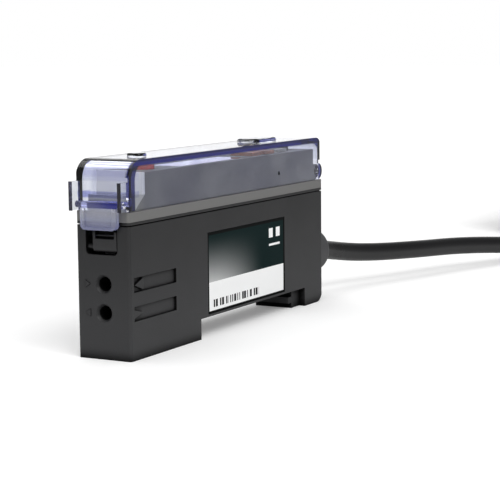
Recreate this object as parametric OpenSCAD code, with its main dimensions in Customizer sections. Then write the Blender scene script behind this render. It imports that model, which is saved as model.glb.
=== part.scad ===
// Fibre optic sensor amplifier for a 35 mm rail
// A narrow black case takes two plastic fibres at its front face. A lever on that
// face locks them. A grey panel with display and keys closes the case, under a
// clear dust cover that is hinged at the cable end.
// +X runs from the fibre face to the cable, +Z is up and the label faces -Y.
// The origin is the bottom centre of the amplifier without its cable.

/* [Case] */
// Length from the fibre face to the cable face
body_l = 68; // [64:1:80]
// Width of the case
body_w = 10; // [10:0.5:13]
// Height of the case below the grey panel
body_h = 22; // [22:0.5:26]
// Thickness of the side walls
side_wall = 1; // [0.8:0.1:1.2]
// Thickness of the end walls
end_wall = 1.2; // [1:0.1:1.4]
// Thickness of the floor
floor_t = 1; // [0.8:0.1:1.4]
// Radius of the upright edges
edge_r = 0.5; // [0.3:0.1:0.8]
// Radius of the lower edge at the cable end
heel_r = 2.5; // [1.5:0.25:3]
// Depth of the shadow line below the panel
rim_groove = 0.25; // [0.15:0.05:0.4]

/* [Rail seat] */
// Length of the leg under the fibre ports
front_leg_l = 21.7; // [20:0.1:23]
// Distance from the front leg to the rear hook
rail_gap = 35.4; // [35.2:0.1:35.8]
// Length of the rear hook
hook_l = 3.3; // [2.5:0.1:3.6]
// Height of the rail slot
slot_h = 3.5; // [3.2:0.1:4.2]
// Reach of the lips that hold the rail
lip_l = 1.2; // [0.8:0.1:1.6]
// Thickness of the lips
lip_t = 1.2; // [0.9:0.1:1.4]
// Thickness of the rail's flange, with its play
rail_t = 1.3; // [1.1:0.1:1.5]

/* [Fibre ports] */
// Bore for a fibre
fibre_bore = 2.3; // [2:0.1:2.5]
// Diameter of the port's mouth
port_mouth = 3.05; // [2.8:0.05:3.4]
// Depth of the port's mouth
mouth_depth = 0.5; // [0.4:0.05:0.6]
// Length of the bore behind the mouth
port_l = 3; // [2.6:0.1:3.4]
// Height of the lower port's axis
port_z = 7.45; // [6.8:0.05:8]
// Distance between the two ports
port_pitch = 4.6; // [4.2:0.1:5]
// Length of the insertion guides on the side
guide_l = 12.7; // [10:0.1:14]
// Height of the insertion guides
guide_h = 2.35; // [1.8:0.05:2.6]
// Depth of the insertion guides
guide_depth = 0.4; // [0.3:0.05:0.45]

/* [Fibre lock] */
// Width of the lock lever
lever_w = 4.45; // [3.6:0.05:4.8]
// Height of the lever above its pivot
lever_h = 2.5; // [2.2:0.1:2.7]
// Radius of the lever's foot round its pivot
lever_foot_r = 0.9; // [0.8:0.05:1]
// Diameter of the lever's trunnions
trunnion_d = 1; // [0.8:0.1:1.1]
// Distance from the case's top edge down to the lever's pivot
pivot_drop = 4.05; // [3.8:0.05:4.4]
// Thickness of the clamp plate
clamp_t = 1.2; // [1:0.1:1.4]
// Lift of the clamp plate when the lever opens
clamp_lift = 0.3; // [0.2:0.05:0.4]

/* [Panel] */
// Height of the grey band on the case
band_h = 1.6; // [1.4:0.1:2]
// Height of the panel block above the band
block_h = 5.9; // [5.7:0.1:6.5]
// Wall of the panel block
block_wall = 0.9; // [0.8:0.1:1]
// Thickness of the panel block's top
block_top_t = 1.4; // [1.2:0.1:1.5]
// Length of the display window
window_l = 22; // [18:0.5:24]
// Width of the display window
window_w = 5.8; // [5:0.1:6]
// Diameter of the indicator lens
lens_d = 3.6; // [2.8:0.1:3.8]
// Length of a key
key_l = 3.4; // [2.6:0.1:3.6]
// Width of a key
key_w = 4.4; // [3.4:0.1:4.6]
// Distance between the keys
key_pitch = 5; // [4.8:0.1:5.2]
// Height of the keys above the panel
key_proud = 0.6; // [0.4:0.1:0.7]
// Travel of a key
key_travel = 0.25; // [0.2:0.05:0.25]
// Travel of the mode switch
knob_travel = 2; // [1.5:0.1:2]

/* [Dust cover] */
// Height of the cover
cover_h = 7.95; // [7.9:0.05:9]
// Side wall of the cover
cover_wall = 0.8; // [0.6:0.05:0.85]
// Thickness of the cover's top
cover_top_t = 1; // [0.8:0.05:1]
// Thickness of the cover's front
cover_front_t = 1.4; // [1:0.1:1.6]
// Outer radius of the cover's front edge
nose_r = 3.5; // [2.5:0.1:4]
// Reach of the grip in front of the fibre face
grip_out = 2; // [1.6:0.1:2.4]
// Length of the tongue below the grip
tongue_h = 3.45; // [3:0.05:3.6]
// Width of the tongue
tongue_w = 6.7; // [5.5:0.1:7]
// Radius of the hinge knuckles
knuckle_r = 1.5; // [1.4:0.05:1.6]
// Diameter of the hinge pegs
peg_d = 1.5; // [1.2:0.1:1.6]

/* [Label] */
// Length of the side label
label_l = 28.1; // [24:0.1:30]
// Height of the side label
label_h = 14; // [10:0.1:15]
// Depth of the label's recess
label_recess = 0.25; // [0.2:0.05:0.35]

/* [Cable] */
// Diameter of the cable
cable_d = 3.7; // [3.4:0.1:3.9]
// Diameter of the cable gland
gland_d = 9; // [8:0.1:9.4]
// Length of the gland's straight part
gland_l = 3.5; // [3:0.1:4]
// Length of the gland's domed end
dome_l = 2.5; // [2:0.1:3]
// Height of the cable's axis at the case
cable_z = 9.2; // [9:0.1:9.6]
// Radius of the coil's inner turns at its ends
coil_r = 11.1; // [10.5:0.1:12]
// Straight length of the coil's turns
coil_run = 54; // [48:1:60]
// Turns that lie side by side in the coil
coil_cols = 2; // [2:1:2]
// Turns that lie on each other in the coil
coil_rows = 6; // [6:1:6]

/* [Hidden] */
$fn = 64;

// Clearances: a fixed fit, a running fit, a sliding gap and a cut's overshoot
fit = 0.1;
run_fit = 0.05;
slide_gap = 0.15;
cut = 1;

// Case
front_x = (grip_out - body_l - gland_l - dome_l) / 2;
half_w = body_w / 2;
inner_w = body_w - 2 * side_wall;
floor_z = slot_h + floor_t;
hook_x = front_leg_l + rail_gap;
rear_leg_x = hook_x + hook_l;
hook_inset = 1.2;
hook_w = body_w - 2 * hook_inset;
lip_z = slot_h - rail_t - lip_t;
rim_h = 0.45;
groove_h = 0.2;

// Fibre ports and lock
boss_end = mouth_depth + port_l;
mouth_over = 0.05;
mouth_slope = (port_mouth - fibre_bore) / mouth_depth;
sign_y = 2.95;
sign_l = 0.9;
sign_h = 1.2;
sign_out = 0.12;
boss_wall = 0.7;
boss_w = port_mouth + 2 * boss_wall;
boss_x = 0.5;
boss_rim = 1.9;
guide_x = 1.1;
clamp_x = boss_end + slide_gap;
block_x = clamp_x + clamp_t + slide_gap;
clamp_w = 4;
clamp_hole = fibre_bore + 2 * clamp_lift;
pivot_x = lever_foot_r;
pivot_z = body_h - pivot_drop;
lever_y = -0.375;
lever_t = 1.1;
notch_h = 1.15;
notch_depth = 0.75;
notch_rim = 0.45;
notch_rib_x = 0.25;
notch_rib_h = 0.25;
lever_side_gap = 0.15;
lever_end_gap = 1.35;
lever_foot_gap = 0.3;
lever_top_gap = 0.6;
lever_bay_r = 0.7;
lever_bay_z = pivot_z - lever_foot_r - lever_foot_gap;
window_top = pivot_z + lever_h + lever_top_gap;
bed_l = 2;
bed_h = 2.2;
trunnion_grip = 0.9;
arm_w = 2;
arm_t = 0.8;
arm_drop = 0.05;
arm_gap = 0.2;
arm_l = clamp_x + clamp_t - pivot_x;
clamp_top = pivot_z - arm_drop - arm_t - arm_gap;
clamp_foot = 2.4;

// Optics
optic_l = 8.5;
optic_w = 4.8;
optic_rim = 2.4;
diode_d = 2.8;
diode_seat = 2.4;
diode_flange_d = 3.5;
diode_flange_t = 0.7;
diode_pin_d = 0.5;
diode_pin_l = 2.2;
diode_pin_gap = 1.27;
optic_end = block_x + optic_l;

// Panel
band_z = body_h + band_h;
block_top = band_z + block_h;
block_in = block_top - block_top_t;
cover_in_w = body_w - 2 * cover_wall;
cover_gap = 0.25;
block_w = cover_in_w - 2 * cover_gap;
skirt_h = 1.8;
skirt_t = 0.8;
toe_x = 2.6;
toe_h = 2.4;
toe_z = band_z + toe_h;
brow_x = 4.9;
light_t = 0.8;
light_x = brow_x + light_t;
light_peg_l = 0.9;
light_peg_w = 3;
light_peg_h = 1.2;
light_peg_z = (toe_z + block_top - light_peg_h) / 2;
hinge_inset = 0.05;
hinge_x = body_l - knuckle_r - hinge_inset;
hinge_z = band_z + slide_gap + knuckle_r;
cover_back = 0.6;
cover_rear = body_l - cover_back;
rear_gap = 1.3;
block_end = cover_rear - cover_wall - rear_gap;
lug_gap = 0.2;
lug_r = knuckle_r - lug_gap;
hollow_x = 7.4;
hollow_end = block_end - rear_gap;
hollow_w = block_w - 2 * block_wall;

// Panel parts
pcb_t = 0.8;
pcb_lift = 0.8;
pcb_z = band_z + pcb_lift;
pcb_top = pcb_z + pcb_t;
pcb_gap = 0.3;
pcb_x = hollow_x + 2 * pcb_gap;
pcb_l = hollow_end - pcb_x - pcb_gap;
post_d = 1.4;
post_bite = 0.2;
lens_x = 11.6;
lens_proud = 0.8;
flange_out = 0.45;
flange_t = 0.6;
window_t = 0.8;
ledge = 0.8;
knob_gap = 2.1;
knob_back = 5.5;
key_x = block_end - knob_back - knob_gap - key_l / 2 - 2 * key_pitch;
window_gap = 3.8;
window_x = key_x - key_l / 2 - window_gap - window_l;
key_lift = 2;
key_foot = pcb_top + key_lift;
key_neck = 0.3;
contact_l = 3.2;
contact_w = 3.2;
contact_gap = 0.05;
contact_h = key_lift - key_travel - contact_gap;
post_x1 = lens_x + lens_d / 2 + flange_out + post_d;
post_x2 = (window_x + window_l + key_x - key_l / 2) / 2;
knob_l = 1.8;
knob_w = 2;
knob_proud = 0.8;
knob_x = block_end - knob_back;
switch_rim = 0.4;
switch_h = 2.2;
switch_w = 3.6;

// Dust cover
cover_z = band_z + slide_gap;
cover_top = cover_z + cover_h;
rear_r = 1.9;
rear_wall_gap = 0.65;
rear_wall_z = hinge_z + knuckle_r + rear_wall_gap;
fin_h = 4.6;
fin_t = 0.7;
fin_inset = 0.1;
grip_lift = 0.45;
grip_z = cover_z + grip_lift;
grip_t = 1.1;
bar_back = 0.7;
bar_x = bar_back - grip_out;
grip_inset = 0.75;
grip_w = body_w - 2 * grip_inset;
tongue_t = 0.95;
tongue_gap = 0.3;
tongue_rib = 0.8;
tongue_foot = 0.4;
tongue_web = 0.55;
tongue_r = 0.9;
tongue_z = grip_z - tongue_h;
disc_x = 10.3;
disc_d = 3.2;
disc_h = 0.5;
disc_r = 0.35;
pad_r = 0.45;
pad_back = 16.4;
pad_x = cover_rear - pad_back;
pad_bite = 0.3;
pad_l = 10;
pad_w = 4.6;
pad_h = 0.7;
dimple_r = 0.45;
dimple_back = 0.8;
dimple_x = pad_x - dimple_back;

// Label
label_back = 2.4;
label_x = front_leg_l + label_back;
label_lift = 0.4;
label_z = slot_h + label_lift;
label_gap = 0.1;
label_sink = 0.05;
label_t = label_recess - label_sink;

// Case parts
board_t = 0.8;
board_gap = 0.4;
board_y = half_w - side_wall - board_gap - board_t;
board_back = 2.6;
board_x = optic_end + board_back;
board_end = body_l - end_wall - board_back;
board_top_gap = 0.3;
board_h = body_h - skirt_h - floor_z - board_top_gap;
rib_l = 1.2;
rib_inset = 2;
chip_l = 7;
chip_t = 1.1;
chip_x = 14;
chip_z = 5;
driver_l = 5;
driver_h = 4;
driver_t = 1.6;
driver_x = 14;
driver_z = 8.5;

// Cable
gland_neck_d = 6;
gland_flange_d = 6.8;
gland_flange_t = 1.2;
gland_tip = body_l + gland_l + dome_l;
lead_d = 0.9;
lead_pitch = 1.2;
lead_l = 6;
cable_r = cable_d / 2;
coil_w = coil_cols * cable_d;
coil_h = coil_rows * cable_d;
coil_in = coil_r - cable_r;
coil_out = coil_in + coil_w;
coil_mid = coil_in + coil_w / 2;
cable_x = front_x + gland_tip;
loose_l = 121.9;
loose_w = 26.45;
bed_gap = 2;
coil_x = cable_x + loose_l + bed_gap + coil_run / 2;
coil_y = coil_out - cable_r - loose_w;
groove_gap = 0.2;
tail_gap = 0.25;
tail_x = coil_run / 2 - 1;
tail_l = 45;
tail_y = coil_in - cable_r - tail_gap;
tail_top = coil_h - cable_r - 1.5;
tail_swing = 0.7;
core_d = 1.2;
core_pitch = 1.5;
core_l = 13;
core_fan = 5;
core_turn = 16;
core_gap = 0.3;
tie_w = 3;
tie_t = 0.8;
tie_gap = 0.1;
tie_sink = 0.2;

// Route of the loose cable from the gland to the coil's bed, as shares of its reach
// along x and y and of its drop to the floor
PATH = [[0, 0, 0], [0.05, 0.011, 0.095], [0.116, 0.083, 0.27], [0.183, 0.189, 0.395],
    [0.266, 0.325, 0.476], [0.357, 0.439, 0.571], [0.424, 0.546, 0.68],
    [0.49, 0.67, 0.789], [0.573, 0.79, 0.898], [0.664, 0.889, 0.966],
    [0.764, 0.957, 0.993], [0.864, 0.991, 1], [0.947, 1, 1], [1, 1, 1]];
ROUTE = [for (q = PATH)
    [cable_x + q[0] * loose_l, -q[1] * loose_w, cable_z - q[2] * (cable_z - cable_r)]];

// Route of the tail from the coil's top row down to the floor inside the coil
TAIL_PATH = [[0, 0, 0], [0.22, 0, 0.03], [0.44, 0, 0.25], [0.67, 0, 0.65], [0.86, 0.45, 0.94],
    [1, 1, 1]];
TAIL_ROUTE = [for (q = TAIL_PATH) [coil_x + tail_x - q[0] * tail_l,
    coil_y + tail_y - q[1] * tail_swing, tail_top - q[2] * (tail_top - cable_r)]];

// Shared shapes

// Everything is drawn with x = 0 at the fibre face and moved to the frame
module placed() {
    translate([front_x, 0, 0]) children();
}

// Plan of a block with round upright edges, from x = 0, centred in y
module round_plan(l, w, r) {
    translate([0, r - w / 2]) square([l, w - 2 * r]);
    translate([r, -w / 2]) square([l - 2 * r, w]);
    for (x = [r, l - r], y = [r - w / 2, w / 2 - r])
        translate([x, y]) circle(r);
}

module round_slab(z, h, l, w, r) {
    translate([0, 0, z]) linear_extrude(h) round_plan(l, w, r);
}

// Block from a corner in x and z, centred in y
module block(x, z, l, w, h, y = 0) {
    translate([x, y - w / 2, z]) cube([l, w, h]);
}

// Cylinder along y, centred
module cross_bar(x, z, r, l, y = 0) {
    translate([x, y, z]) rotate([90, 0, 0]) cylinder(r = r, h = l, center = true);
}

// Cylinder along x, from x to x + l
module long_bar(x, z, r, l, y = 0) {
    translate([x, y, z]) rotate([0, 90, 0]) cylinder(r = r, h = l);
}

// Waste outside a rounded edge that runs along y: sx and sz point to the corner
module edge_waste(x, z, r, sx, sz) {
    difference() {
        translate([x - (sx > 0 ? r : cut), -body_w, z - (sz > 0 ? r : cut)])
            cube([r + cut, 2 * body_w, r + cut]);
        cross_bar(x - sx * r, z - sz * r, r, 3 * body_w);
    }
}

// Shape drawn in x and z, carried along y
module side_profile(w, y = 0) {
    translate([0, y + w / 2, 0]) rotate([90, 0, 0]) linear_extrude(w) children();
}

// Upright plate with round lower corners, seen from the front, from x to x + t
module round_foot(x, z, t, w, h, r) {
    translate([x, 0, z]) rotate([90, 0, 90]) linear_extrude(t) {
        translate([-w / 2, r]) square([w, h - r]);
        translate([r - w / 2, 0]) square([w - 2 * r, h]);
        for (s = [-1, 1]) translate([s * (w / 2 - r), r]) circle(r);
    }
}

// Recess on the label side with a raised arrow in it
module insertion_guide(z, tip_x, base_x) {
    difference() {
        translate([guide_x, -half_w - cut, z - guide_h / 2])
            cube([guide_l, cut + guide_depth, guide_h]);
        side_profile(body_w) polygon([[tip_x, z], [base_x, z - guide_h * 0.4],
            [base_x, z + guide_h * 0.4]]);
    }
}

// Case

module case_shell() {
    difference() {
        round_slab(0, body_h, body_l, body_w, edge_r);
        block(front_leg_l, -cut, rear_leg_x - front_leg_l, 2 * body_w, slot_h + cut);
        edge_waste(body_l, 0, heel_r, 1, -1);
        block(end_wall, floor_z, body_l - 2 * end_wall, inner_w, body_h);
        block(end_wall, floor_t, front_leg_l - 2 * end_wall, inner_w, body_h);
    }
}

// Hook and lips that take the rail
module rail_hooks() {
    block(hook_x, 0, hook_l + end_wall, hook_w, slot_h + floor_t / 2);
    block(front_leg_l - end_wall / 2, lip_z, lip_l + end_wall / 2, hook_w, lip_t);
    block(hook_x - lip_l, lip_z, lip_l + hook_l / 2, hook_w, lip_t);
}

module port_cuts() {
    for (z = [port_z, port_z + port_pitch]) {
        translate([-mouth_over, 0, z]) rotate([0, 90, 0])
            cylinder(d1 = port_mouth + mouth_over * mouth_slope, d2 = fibre_bore,
                h = mouth_depth + mouth_over);
        long_bar(-cut, z, fibre_bore / 2, cut + boss_end + cut);
    }
}

// Raised arrow beside a port: s points to the port or away from it
module port_sign(z, s) {
    translate([-sign_out, sign_y, z]) rotate([90, 0, 90]) linear_extrude(sign_out + boss_x)
        polygon([[-s * sign_l / 2, 0], [s * sign_l / 2, -sign_h / 2],
            [s * sign_l / 2, sign_h / 2]]);
}

module lever_cuts() {
    translate([0, lever_y + (lever_end_gap - lever_side_gap) / 2, 0])
        round_foot(-cut, lever_bay_z, cut + bed_l + cut,
            lever_w + lever_side_gap + lever_end_gap, window_top - lever_bay_z, lever_bay_r);
    cross_bar(pivot_x, pivot_z, trunnion_d / 2 + run_fit,
        lever_w + lever_side_gap + lever_end_gap + 2 * (trunnion_grip + fit),
        lever_y + (lever_end_gap - lever_side_gap) / 2);
}

module rim_cut() {
    difference() {
        block(-cut, body_h - rim_h - groove_h, body_l + 2 * cut, 2 * body_w, groove_h);
        translate([rim_groove, 0, 0])
            round_slab(0, body_h, body_l - 2 * rim_groove, body_w - 2 * rim_groove, edge_r);
    }
}

module housing() {
    color("#3a3b3d") placed() difference() {
        union() {
            case_shell();
            rail_hooks();
            port_sign(port_z + port_pitch, 1);
            port_sign(port_z, -1);
            block(boss_x, port_z - boss_rim, boss_end - boss_x, boss_w,
                port_pitch + 2 * boss_rim);
            block(boss_x, pivot_z - bed_h / 2, bed_l - boss_x, inner_w + side_wall / 2, bed_h);
            for (x = [board_x + rib_inset, board_end - rib_inset - rib_l])
                translate([x, board_y + board_t, floor_z - floor_t / 2])
                    cube([rib_l, half_w - side_wall / 2 - board_y - board_t, board_h]);
        }
        port_cuts();
        lever_cuts();
        rim_cut();
        insertion_guide(port_z + port_pitch, guide_x + 0.2, guide_x + 2.7);
        insertion_guide(port_z, guide_x + 2.65, guide_x - cut);
        translate([label_x, -half_w - cut, label_z])
            cube([label_l, cut + label_recess, label_h]);
        long_bar(body_l - 2 * end_wall, cable_z, gland_neck_d / 2 + run_fit, 3 * end_wall);
    }
}

module label_plate() {
    color("#1d2426") placed()
        translate([label_x + label_gap, label_recess - half_w - label_t, label_z + label_gap])
            cube([label_l - 2 * label_gap, label_t, label_h - 2 * label_gap]);
}

// Fibre lock

module fibre_lever() {
    color("#333436") placed() difference() {
        union() {
            block(0, pivot_z, lever_t, lever_w, lever_h, lever_y);
            cross_bar(pivot_x, pivot_z, lever_foot_r, lever_w, lever_y);
            cross_bar(pivot_x, pivot_z, trunnion_d / 2,
                lever_w + lever_side_gap + lever_end_gap + 2 * trunnion_grip,
                lever_y + (lever_end_gap - lever_side_gap) / 2);
            block(pivot_x, pivot_z - arm_drop - arm_t, arm_l, arm_w, arm_t, lever_y);
        }
        // Finger notch with a rib across it
        difference() {
            block(-cut, pivot_z + lever_h - notch_h, cut + notch_depth, lever_w - 2 * notch_rim,
                notch_h + cut, lever_y);
            block(notch_rib_x, pivot_z + lever_h - 3 * notch_rib_h, lever_t, lever_w,
                notch_rib_h, lever_y);
        }
    }
}

module fibre_clamp() {
    color("#55575a") placed() difference() {
        block(clamp_x, clamp_foot, clamp_t, clamp_w, clamp_top - clamp_foot);
        for (z = [port_z, port_z + port_pitch])
            long_bar(clamp_x - cut, z - clamp_lift, clamp_hole / 2, clamp_t + 2 * cut);
    }
}

// Optics

module optical_block() {
    color("#26272a") placed() difference() {
        block(block_x, floor_t, optic_l, optic_w,
            port_z + port_pitch + optic_rim - floor_t);
        for (z = [port_z, port_z + port_pitch]) {
            long_bar(block_x - cut, z, fibre_bore / 2, optic_l + 2 * cut);
            long_bar(optic_end - diode_seat, z, diode_d / 2 + run_fit, diode_seat + cut);
        }
    }
}

module diode(z) {
    long_bar(optic_end - diode_seat + fit, z, diode_d / 2, diode_seat);
    long_bar(optic_end, z, diode_flange_d / 2, diode_flange_t);
    for (y = [-diode_pin_gap, diode_pin_gap])
        long_bar(optic_end + diode_flange_t / 2, z, diode_pin_d / 2, diode_pin_l, y);
}

module emitter_led() {
    color("#c9504a") placed() diode(port_z + port_pitch);
}

module receiver_diode() {
    color("#3d3f5a") placed() diode(port_z);
}

// Electronics in the case

module main_board() {
    color("#2d5a3c") placed() translate([board_x, board_y, floor_z])
        cube([board_end - board_x, board_t, board_h]);
}

module microcontroller() {
    color("#1c1c1e") placed() translate([board_x + chip_x, board_y - chip_t, floor_z + chip_z])
        cube([chip_l, chip_t, chip_l]);
}

module output_driver() {
    color("#232325") placed()
        translate([board_end - driver_x, board_y - driver_t, floor_z + driver_z])
            cube([driver_l, driver_t, driver_h]);
}

// Panel

// Side view of the panel block, with a toe ahead of its front
module block_outline() {
    polygon([[toe_x, band_z - 0.5], [toe_x, toe_z], [light_x, toe_z], [light_x, block_top],
        [block_end, block_top], [block_end, band_z - 0.5]]);
}

module key_hole(i) {
    block(key_x + i * key_pitch - key_l / 2 - slide_gap, block_in - cut,
        key_l + 2 * slide_gap, key_w + 2 * slide_gap, block_top_t + 2 * cut);
}

module panel_cuts() {
    block(hollow_x, body_h - skirt_h - cut, hollow_end - hollow_x, hollow_w,
        block_in - body_h + skirt_h + cut);
    block(window_x, block_top - window_t, window_l, window_w, window_t + cut);
    block(window_x + ledge, block_in - cut, window_l - 2 * ledge,
        window_w - 2 * ledge, block_top_t + cut);
    translate([lens_x, 0, block_in - cut])
        cylinder(d = lens_d + 2 * fit, h = block_top_t + 2 * cut);
    block(brow_x, light_peg_z - fit, light_t + light_peg_l + fit, light_peg_w + 2 * fit,
        light_peg_h + 2 * fit);
    for (i = [0:2]) key_hole(i);
    block(knob_x - knob_l / 2 - slide_gap, block_in - cut,
        knob_l + knob_travel + 2 * slide_gap, knob_w + 2 * slide_gap,
        block_top_t + 2 * cut);
    for (s = [-1, 1])
        cross_bar(hinge_x, hinge_z, peg_d / 2 + run_fit, block_w / 2,
            s * (block_w / 2 + 0.5));
}

module panel_skirt() {
    difference() {
        block(end_wall + fit, body_h - skirt_h, body_l - 2 * end_wall - 2 * fit,
            inner_w - 2 * fit, skirt_h + 0.5);
        block(end_wall + fit + bed_l, body_h - skirt_h - cut,
            body_l - 2 * end_wall - 2 * fit - 2 * bed_l, inner_w - 2 * fit - 2 * skirt_t,
            skirt_h + 2 * cut);
        // Room for the lever's arm and bed
        block(0, body_h - skirt_h - cut, clamp_x + 3, inner_w + 1, skirt_h + cut);
    }
}

module top_panel() {
    color("#7d7c76") placed() difference() {
        union() {
            round_slab(body_h, band_h, body_l, body_w, edge_r);
            panel_skirt();
            side_profile(block_w) block_outline();
            cross_bar(hinge_x, hinge_z, lug_r, block_w);
            block(block_end - cut, band_z - 0.5, hinge_x - block_end + cut, block_w,
                hinge_z + lug_r - band_z + 0.5);
        }
        difference() {
            panel_cuts();
            for (x = [post_x1, post_x2])
                translate([x, 0, pcb_top])
                    cylinder(d = post_d, h = block_in + post_bite - pcb_top);
        }
    }
}

module display_board() {
    color("#2d5a3c") placed() block(pcb_x, pcb_z, pcb_l, hollow_w - 2 * fit, pcb_t);
}

module digit_display() {
    color("#2a1a1a") placed() block(window_x + 0.4, pcb_top, window_l - 0.8,
        window_w - 1, block_in - pcb_top - 0.5);
}

module display_window() {
    color("#5a1f22") placed() block(window_x + fit, block_top - window_t,
        window_l - 2 * fit, window_w - 2 * fit, window_t);
}

module output_indicator() {
    color("#c2332f") placed() translate([lens_x, 0, 0]) {
        translate([0, 0, pcb_top]) cylinder(d = lens_d - 1, h = block_top - pcb_top);
        translate([0, 0, block_in - flange_t - fit])
            cylinder(d = lens_d + 2 * flange_out, h = flange_t);
        translate([0, 0, block_in - flange_t])
            cylinder(d = lens_d, h = block_top_t + flange_t + lens_proud);
    }
}

// Milky plate on the block's front that the indicator lights, held by a peg
module light_guide() {
    color("#d8d6cf") placed() {
        block(brow_x, toe_z, light_t, block_w, block_top - toe_z);
        block(brow_x + light_t / 2, light_peg_z, light_t / 2 + light_peg_l, light_peg_w,
            light_peg_h);
    }
}

// Key cap with a flange that holds it under the panel
module key(i) {
    placed() translate([key_x + i * key_pitch, 0, 0]) {
        block(-key_l / 2, key_foot, key_l, key_w, block_top + key_proud - key_foot);
        block(-key_l / 2, key_foot, key_l, key_w + 2 * key_neck, flange_t);
    }
}

module plus_key() {
    color("#a5684e") key(0);
}

module minus_key() {
    color("#a5684e") key(1);
}

module set_key() {
    color("#9a9a96") key(2);
}

module contact(i) {
    placed() block(key_x + i * key_pitch - contact_l / 2, pcb_top, contact_l, contact_w,
        contact_h);
}

module plus_contact() {
    color("#b8b9bb") contact(0);
}

module minus_contact() {
    color("#b8b9bb") contact(1);
}

module set_contact() {
    color("#b8b9bb") contact(2);
}

module mode_switch() {
    color("#b8b9bb") placed() block(knob_x - knob_l / 2 - switch_rim, pcb_top,
        knob_l + knob_travel + 2 * switch_rim, switch_w, switch_h);
}

module mode_knob() {
    color("#1d1e20") placed() block(knob_x - knob_l / 2, pcb_top + switch_h + fit, knob_l,
        knob_w, block_top + knob_proud - pcb_top - switch_h - fit);
}

// Dust cover

module cover_shell() {
    difference() {
        round_slab(cover_z, cover_h, cover_rear, body_w, edge_r);
        edge_waste(0, cover_top, nose_r, -1, 1);
        edge_waste(cover_rear, cover_top, rear_r, 1, 1);
        difference() {
            block(cover_front_t, cover_z - cut, cover_rear - cover_front_t - cover_wall,
                cover_in_w, cover_h - cover_top_t + cut);
            edge_waste(cover_front_t, cover_top - cover_top_t, nose_r - cover_front_t, -1, 1);
        }
        // Open below the rear wall, where the hinge turns
        block(hinge_x, cover_z - cut, body_l, 2 * body_w, rear_wall_z - cover_z + cut);
    }
}

// Grip at the front: two fins, a round thumb bar and a tongue with raised sides
module cover_grip() {
    for (s = [-1, 1])
        block(-grip_out, cover_z, grip_out + cover_front_t / 2, fin_t, fin_h,
            s * (half_w - fin_inset - fin_t / 2));
    block(bar_x + grip_t / 2, grip_z, cover_front_t / 2 - bar_x - grip_t / 2, grip_w, grip_t);
    cross_bar(bar_x + grip_t / 2, grip_z + grip_t / 2, grip_t / 2, grip_w);
    difference() {
        round_foot(-tongue_gap - tongue_t, tongue_z, tongue_t, tongue_w,
            tongue_h + grip_t / 2, tongue_r);
        round_foot(-tongue_gap - tongue_t - cut, tongue_z + tongue_foot,
            tongue_t - tongue_web + cut, tongue_w - 2 * tongue_rib,
            tongue_h - tongue_foot, tongue_r / 2);
    }
}

// Raised spot with a round shoulder, revolved
module button(d, h, r) {
    rotate_extrude() {
        square([d / 2, h - r]);
        square([d / 2 - r, h]);
        translate([d / 2 - r, h - r]) circle(r);
    }
}

// Long raised pad with round ends and shoulders
module long_pad(l, w, h, r) {
    translate([(w - l) / 2, 0, 0]) rotate([90, 0, 90]) linear_extrude(l - w) {
        translate([-w / 2, 0]) square([w, h - r]);
        translate([r - w / 2, 0]) square([w - 2 * r, h]);
        for (s = [-1, 1]) translate([s * (w / 2 - r), h - r]) circle(r);
    }
    for (s = [-1, 1]) translate([s * (l - w) / 2, 0, 0]) intersection() {
        button(w, h, r);
        block(s > 0 ? 0 : -w, -cut, w, 2 * w, h + 2 * cut);
    }
}

module cover_hinge() {
    for (s = [-1, 1]) {
        cross_bar(hinge_x, hinge_z, knuckle_r, cover_wall, s * (half_w - cover_wall / 2));
        cross_bar(hinge_x, hinge_z, peg_d / 2, 1.2 + cover_wall,
            s * (half_w - 0.6 - cover_wall / 2));
    }
}

module dust_cover() {
    color("#b9bdf0", 0.45) placed() difference() {
        union() {
            cover_shell();
            cover_grip();
            cover_hinge();
            translate([disc_x, 0, cover_top - pad_bite])
                button(disc_d, disc_h + pad_bite, disc_r);
            translate([pad_x, 0, cover_top - pad_bite])
                long_pad(pad_l, pad_w, pad_h + pad_bite, pad_r);
        }
        translate([dimple_x, -half_w - dimple_r / 2, hinge_z + 0.8]) sphere(dimple_r);
    }
}

// Cable

module cable_gland() {
    color("#2e2f31") placed() translate([body_l, 0, cable_z]) rotate([0, 90, 0]) union() {
        translate([0, 0, -end_wall - gland_flange_t])
            cylinder(d = gland_flange_d, h = gland_flange_t);
        translate([0, 0, -end_wall - gland_flange_t / 2])
            cylinder(d = gland_neck_d, h = end_wall + gland_flange_t);
        cylinder(d = gland_d, h = gland_l);
        rotate_extrude() intersection() {
            translate([gland_d / 2 - dome_l, gland_l]) circle(dome_l);
            translate([0, gland_l - 0.2]) square([gland_d, dome_l + cut]);
        }
        translate([0, 0, gland_l - 0.2]) cylinder(r = gland_d / 2 - dome_l, h = dome_l + 0.2);
    }
}

// Cores of the cable inside the case, soldered to the main board
module lead(i) {
    placed() long_bar(body_l - end_wall - gland_flange_t - lead_l,
        cable_z + (i - 1.5) * lead_pitch, lead_d / 2, lead_l, board_y - lead_d / 2);
}

module lead_brown() {
    color("#6b4226") lead(0);
}

module lead_blue() {
    color("#2b4f9e") lead(1);
}

module lead_black() {
    color("#202022") lead(2);
}

module lead_white() {
    color("#e6e6e4") lead(3);
}

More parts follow.
